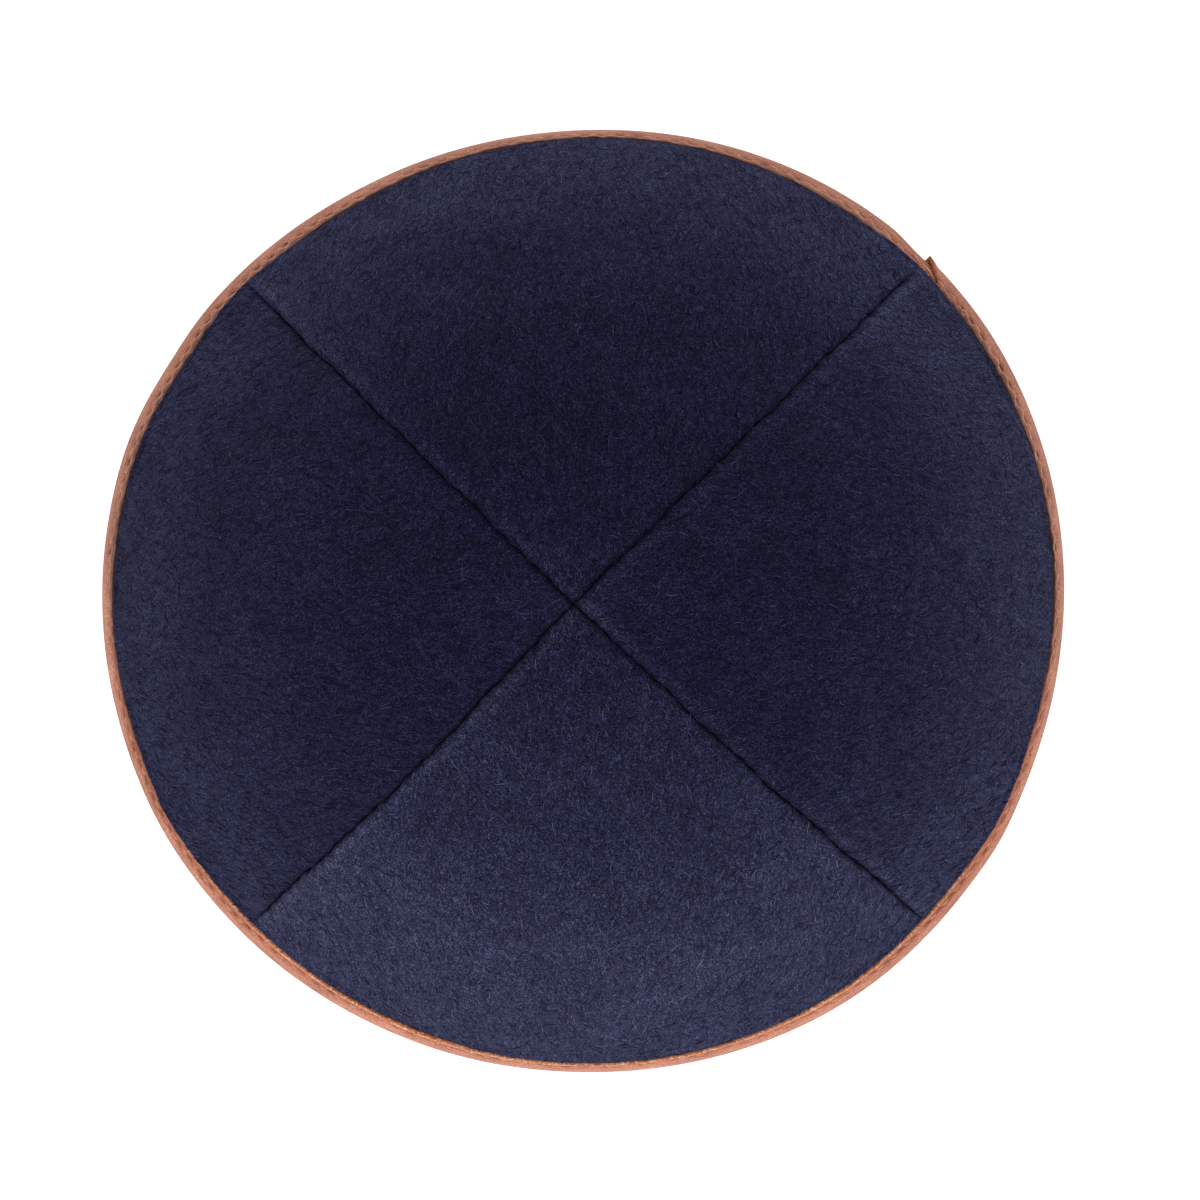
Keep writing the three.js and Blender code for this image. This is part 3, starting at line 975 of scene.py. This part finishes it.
def stitch_tree():
    """One bowed stitch on each point, turned by the point's own directions."""
    board, given = new_tree("lay_stitches", {
        "Length": "NodeSocketFloat", "Thickness": "NodeSocketFloat", "Bow": "NodeSocketFloat",
        "Seed": "NodeSocketInt", "Material": "NodeSocketMaterial"})
    half = given["Length"] / 2
    start = board.node("ShaderNodeCombineXYZ", {}, {"X": half * -1, "Z": given["Bow"] * -1})
    middle = board.node("ShaderNodeCombineXYZ", {}, {"Z": given["Bow"]})
    end = board.node("ShaderNodeCombineXYZ", {}, {"X": half, "Z": given["Bow"] * -1})
    curve = board.node("GeometryNodeCurveQuadraticBezier", {}, {
        "Resolution": 5, "Start": start, "Middle": middle, "End": end})
    stitch = tube_along(board, curve, given["Thickness"], 6)
    points = board.node("GeometryNodeMeshToPoints", {}, {"Mesh": given["Geometry"]})
    lie = facing(board, stored_vector(board, "out"), stored_vector(board, "along"))
    size = random_number(board, 0.88, 1.08, given["Seed"])
    laid = board.node("GeometryNodeInstanceOnPoints", {}, {
        "Points": points, "Instance": stitch, "Rotation": lie, "Scale": size})
    finish_tree(board, laid, given["Material"])
    return board


# The leather strip

def layer_share(angle):
    """How much of the strip is under or over its other end, by the angle run from its start."""
    under = 1 - smooth(LAP_END + 0.7, LAP_END + 0.7 + UNDER_EASE, angle)
    over = smooth(LAP_START + 360 - 0.7 - TOP_EASE, LAP_START + 360 - 0.7, angle)
    return under, over


def layer_size(key, angle):
    under, over = layer_share(angle)
    return blend(blend(SINGLE_LAYER[key], UNDER_LAYER[key], under), TOP_LAYER[key], over)


def stitch_phase(angle):
    """Place between one needle hole, 0, and the next, 1."""
    return (angle * STITCHES / 360) % 1


def stitch_line(turn, side):
    """How far up the outer leg, side 1, or the inner one, side -1, the hand-guided stitches lie."""
    leg = OUTER_LEG if side > 0 else INNER_LEG
    return leg - STITCH_DROP + STITCH_WANDER * ripple(turn, 61, (9, 23, 57))


def leg_relief(angle, up, side):
    """Height of a leg's face above plain, how pinched it is by the thread, and how far up its lip it lies."""
    phase = stitch_phase(angle)
    turn = np.radians(angle)
    away = (phase + 0.5) % 1 - 0.5
    number = np.round(angle * STITCHES / 360)
    uneven = 1 + HOLE["uneven"] * np.sin(2.4 * number) * np.sin(1.1 * number)
    bite = (BITE + around(turn, DEEP_STITCHES)) * uneven
    hole = 1 - smooth(0.1, 0.3, abs(away))
    across = up - stitch_line(turn, side)
    slanted = (across + HOLE["slant"] * away) / HOLE["half_width"]
    pinch = bite * (1 - smooth(0.3, 1.0, np.hypot(away / HOLE["half_length"], slanted)))
    groove = 0.16 * bell(across, 0, 0.55)
    lip = (0.08 + 0.2 * bite * (1 - hole)) * bell(across, 1.1, 0.6)
    lip = lip - 0.12 * bite * hole * smooth(0.1, 1.2, across)
    swell = 0.1 * bell(across, -1.0, 0.7) * (0.5 + 0.5 * (1 - hole))
    wrinkle = 0.06 * ripple(turn + 0.02 * up, 67, (41, 67, 97, 131)) * smooth(0.5, 2, up)
    return lip + swell + wrinkle - groove - 0.5 * pinch, pinch, np.clip((across + 1.6) / 3.4, 0, 1)


def fold_radii(is_face, under):
    """Radii of the outer and inner folds, tighter on the strip's back and where it lies underneath."""
    if is_face:
        return blend(FOLD_RADIUS, UNDER_FOLD, under), blend(INNER_FOLD_RADIUS, UNDER_INNER_FOLD, under)
    return BACK_FOLD + 0 * under, BACK_INNER_FOLD + 0 * under


def strip_edges(angle):
    """Heights of the outer and inner cut edges, wavy, with the outer one scalloped at the needle holes."""
    azimuth = np.radians(angle)[:, None]
    wave = 0.11 * ripple(azimuth, 71, (31, 53, 89)) + 0.05 * ripple(azimuth, 73, (149, 211))
    hole = bell(np.minimum(stitch_phase(angle), 1 - stitch_phase(angle)), 0, 0.22)[:, None]
    scallop = 0.08 + 0.2 * around(azimuth, DEEP_STITCHES)
    outer = OUTER_LEG - TRIM - around(azimuth, LOW_EDGES) + wave - scallop * hole
    return outer, INNER_LEG - TRIM + 0.1 * ripple(azimuth, 79, (27, 49, 83))


def strip_boundary(angle, kind):
    """One side of the folded strip at each angle, its face or its back, from the outer edge to the inner."""
    azimuth = np.radians(angle)[:, None]
    slope, base = rim_frame(azimuth)
    far = layer_size(kind, angle)[:, None]
    foot = layer_size(f"foot_{kind}", angle)[:, None]
    is_face = kind == "face"
    under = layer_share(angle)[0][:, None]
    fold, inner_fold = fold_radii(is_face, under)
    outer_top, inner_top = strip_edges(angle)
    outer_foot = (foot - far * np.cos(slope)) / np.sin(slope) + fold / np.tan(slope / 2)
    inner_foot = (foot + far * np.cos(slope)) / np.sin(slope) + inner_fold * np.tan(slope / 2)

    def leg(side, top, low, steps):
        up = low + (top - low) * steps
        relief, pinch, lip = leg_relief(angle[:, None], up, side)
        out = side * (far + (relief if is_face else 0.4 * np.minimum(relief, 0)))
        r = base + out * np.sin(slope) - up * np.cos(slope)
        z = out * np.cos(slope) + up * np.sin(slope)
        return r, z, pinch, lip, side * up

    def arc(centre_r, centre_z, radius, start, end, count):
        part = np.linspace(0, 1, count + 2)[None, 1:-1]
        turn = start + (end - start) * part
        return centre_r + radius * np.cos(turn), centre_z + radius * np.sin(turn), *[0 * turn] * 3

    corner = base + far * np.sin(slope) - ((foot - far * np.cos(slope)) / np.sin(slope)) * np.cos(slope)
    outer_centre = corner - fold / np.tan(slope / 2)
    inner_corner = base - far * np.sin(slope) - ((foot + far * np.cos(slope)) / np.sin(slope)) * np.cos(slope)
    inner_centre = inner_corner + inner_fold * np.tan(slope / 2)
    quarter = math.pi / 2
    leg_steps = 1 - np.array([LEG_STEPS])
    flat = np.linspace(0, 1, 3)[None, :]
    runs = [
        leg(1, outer_top, outer_foot, leg_steps),
        arc(outer_centre, foot + fold, fold, quarter - slope, -quarter + 0 * slope, 6),
        (blend(outer_centre, inner_centre, flat), foot + 0 * flat, *[0 * outer_centre + 0 * flat] * 3),
        arc(inner_centre, foot + inner_fold, inner_fold, -quarter + 0 * slope, -quarter - slope, 4),
        leg(-1, inner_top, inner_foot, leg_steps[:, ::-1]),
    ]
    return [np.concatenate(values, axis=1) for values in zip(*runs)]


def strip_stations():
    """Angles from the strip's start to its end, closer together near each needle hole."""
    pitch = 360 / STITCHES
    first = math.floor(LAP_START / pitch)
    angles = ((first + np.arange(STITCHES + 6))[:, None] + HOLE_STEPS).ravel() * pitch
    end = LAP_END + 360
    inside = angles[(angles > LAP_START + 0.1) & (angles < end - 0.1)]
    return np.concatenate([[LAP_START], inside, [end]])


def strip_side(angle, r, z, up, lift):
    """Points of the strip's face or back, its end cut on a slant and lifted off the layer below."""
    run = angle[:, None] - LAP_END - 360
    slanted = END_SLANT * smooth(-2.2 * END_SLANT, 0, run) / OUTER_LEG
    lifted = r + lift * smooth(-1.7, 0, run) * (1 - smooth(1.6, 4.6, z)) * (up >= 0)
    return place_points(np.radians(angle[:, None] - slanted * np.maximum(up, 0)), lifted, z)


def rawness(rows, count, lower):
    """How raw the leather is: at its cut edges, reaching further down the face towards the front to widen the
    painted lit edge there, at its end, and on its back.
    """
    raw = np.zeros((rows, count))
    raw_at_back, raw_at_lit_front = np.array([0.85, 0.3, 0, 0]), np.array([1.0, 1.0, 0.65, 0.12])
    raw[:, :4] = blend(raw_at_back, raw_at_lit_front, smooth(0.55, 0.9, lower))
    raw[:, -2:] = (0.25, 0.85)
    raw[-1] = 0.6
    raw[-2] = 0.15
    return np.concatenate([raw, np.ones((rows, count))], axis=1)


def build_binding(material):
    angle = strip_stations()
    face_r, face_z, pinch, lip, face_up = strip_boundary(angle, "face")
    back_r, back_z, _, _, back_up = strip_boundary(angle, "back")
    face = strip_side(angle, face_r, face_z, face_up, END_LIFT)
    back = strip_side(angle, back_r, back_z, back_up, BACK_LIFT)
    loops = np.concatenate([face, back[:, ::-1]], axis=1)
    rows, columns = loops.shape[:2]
    ends = [closing_faces(first, columns) for first in (0, (rows - 1) * columns)]
    # Share towards the front, 1, where the leather's finish paints light, and the back, 0, where it paints
    # shade
    lower = (0.5 - 0.5 * np.sin(np.radians(angle)))[:, None]
    raw = rawness(rows, face.shape[1], lower)
    lower = np.repeat(lower, columns, axis=1)
    # Painted light: the strip's cut end takes the front's lit colours
    lower[-3:] = np.maximum(lower[-3:], 0.75)
    pinch = np.concatenate([pinch, 0 * pinch], axis=1)
    lip = np.concatenate([lip, 0 * lip + 1], axis=1)
    steps = np.linalg.norm(np.diff(face, axis=1), axis=-1)
    across = np.concatenate([np.zeros((rows, 1)), np.cumsum(steps, axis=1)], axis=1)
    length = np.radians(angle)[:, None] * MEAN_RIM_RADIUS + 0 * across
    flat = np.stack([length, across], axis=-1) / 100
    flat = np.concatenate([flat, flat[:, ::-1] + 0.5], axis=1)
    values = {"raw": raw, "pinch": pinch, "lip": lip, "lower": lower}
    values = {key: value.ravel() for key, value in values.items()}
    faces = np.concatenate([grid_faces(rows, columns, closed=True), *ends])
    piece = new_object("leather_binding", loops.reshape(-1, 3), faces, values=values, uvs=flat.reshape(-1, 2))
    merge_doubles(piece)
    piece.data.materials.append(material)
    return piece


def stitch_points(name, side):
    """One point in the middle of each stitch, with the ways its thread runs and faces."""
    angle = (np.arange(STITCHES) + 0.5 + math.ceil(LAP_END * STITCHES / 360)) * 360 / STITCHES
    turn = np.radians(angle)
    up = stitch_line(turn, side)
    relief = leg_relief(angle, up, side)[0]
    slope = rim_frame(turn)[0]
    r, z = rim_point(turn, side * (layer_size("face", angle) + relief), up)
    centre = place_points(turn, r, z)
    out = [np.sin(slope) * np.cos(turn), np.sin(slope) * np.sin(turn), np.cos(slope)]
    out = np.stack(out, axis=-1) * side
    along = np.stack([-np.sin(turn), np.cos(turn), 0 * turn], axis=-1)
    along = along + 0.12 * np.stack([np.cos(turn), np.sin(turn), -1 + 0 * turn], axis=-1)
    return new_object(name, centre, np.zeros((0, 4)), values={"out": out, "along": along})


# Staging

def build_floor():
    mesh = bpy.data.meshes.new("floor")
    corners = [(-1, -1), (1, -1), (1, 1), (-1, 1)]
    mesh.from_pydata([(x * FLOOR_SIDE, y * FLOOR_SIDE, FLOOR_LEVEL) for x, y in corners], [], [(0, 1, 2, 3)])
    floor = bpy.data.objects.new("floor", mesh)
    bpy.context.collection.objects.link(floor)
    material, board = new_finish("pale_floor")
    finish_surface(board, {"Base Color": (0.92, 0.92, 0.92, 1), "Roughness": 0.9,
                           "Emission Color": (1, 1, 1, 1), "Emission Strength": FLOOR_GLOW})
    mesh.materials.append(material)


def add_lamp(name, place, size, power):
    lamp = bpy.data.lights.new(name, "AREA")
    lamp.shape = "DISK"
    lamp.size = size
    lamp.energy = power
    obj = bpy.data.objects.new(name, lamp)
    obj.location = place
    aim = Vector(LAMP_TARGET) - Vector(place)
    obj.rotation_euler = aim.to_track_quat("-Z", "Y").to_euler()
    bpy.context.collection.objects.link(obj)


def build_stage():
    scene = bpy.context.scene
    scene.view_settings.view_transform = "Standard"
    world = bpy.data.worlds.new("studio")
    world.use_nodes = True
    world.node_tree.nodes["Background"].inputs["Color"].default_value = (1, 1, 1, 1)
    world.node_tree.nodes["Background"].inputs["Strength"].default_value = WORLD_LIGHT
    scene.world = world
    build_floor()
    for lamp in LAMPS:
        add_lamp(**lamp)
    camera = bpy.data.cameras.new("camera")
    camera.sensor_width = SENSOR
    camera.lens = SENSOR * CAMERA_HEIGHT / FRAME_WIDTH
    camera.clip_start = 0.01
    view = bpy.data.objects.new("camera", camera)
    view.location = (*FRAME_CENTRE, CAMERA_HEIGHT)
    bpy.context.collection.objects.link(view)
    scene.camera = view


def build_cap():
    wool, fibre, seam = wool_finish(), fibre_finish(), seam_finish()
    leather, thread = leather_finish(), thread_finish()
    fibres = fibre_tree()
    for number, panel in enumerate(PANELS):
        piece, outer, shade = build_panel(panel, 10 * number + 1)
        piece.data.materials.append(wool)
        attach(piece, "root")
        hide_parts(f"panel_{panel['name']}")
        fluff = fibre_ground(panel, outer, shade)
        area = sum(face.area for face in fluff.data.polygons)
        run_tree(fluff, fibres, {
            "Density": FIBRES / area, "Length": FIBRE_LENGTH * MM, "Thickness": FIBRE_THICKNESS * MM,
            "Seed": 100 + 10 * number, "Material": fibre})
        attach(fluff, "root")
    joined = build_seam_thread(seam)
    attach(joined, "root")
    binding = build_binding(leather)
    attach(binding, "root")
    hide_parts("rim_binding")
    stitches = stitch_tree()
    for name, side in (("topstitching_outside", 1), ("topstitching_inside", -1)):
        row = stitch_points(name, side)
        run_tree(row, stitches, {
            "Length": STITCH_LENGTH * MM, "Thickness": THREAD / 2 * MM, "Bow": STITCH_BOW * MM, "Seed": 5,
            "Material": thread})
        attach(row, "root")


build_stage()
build_cap()
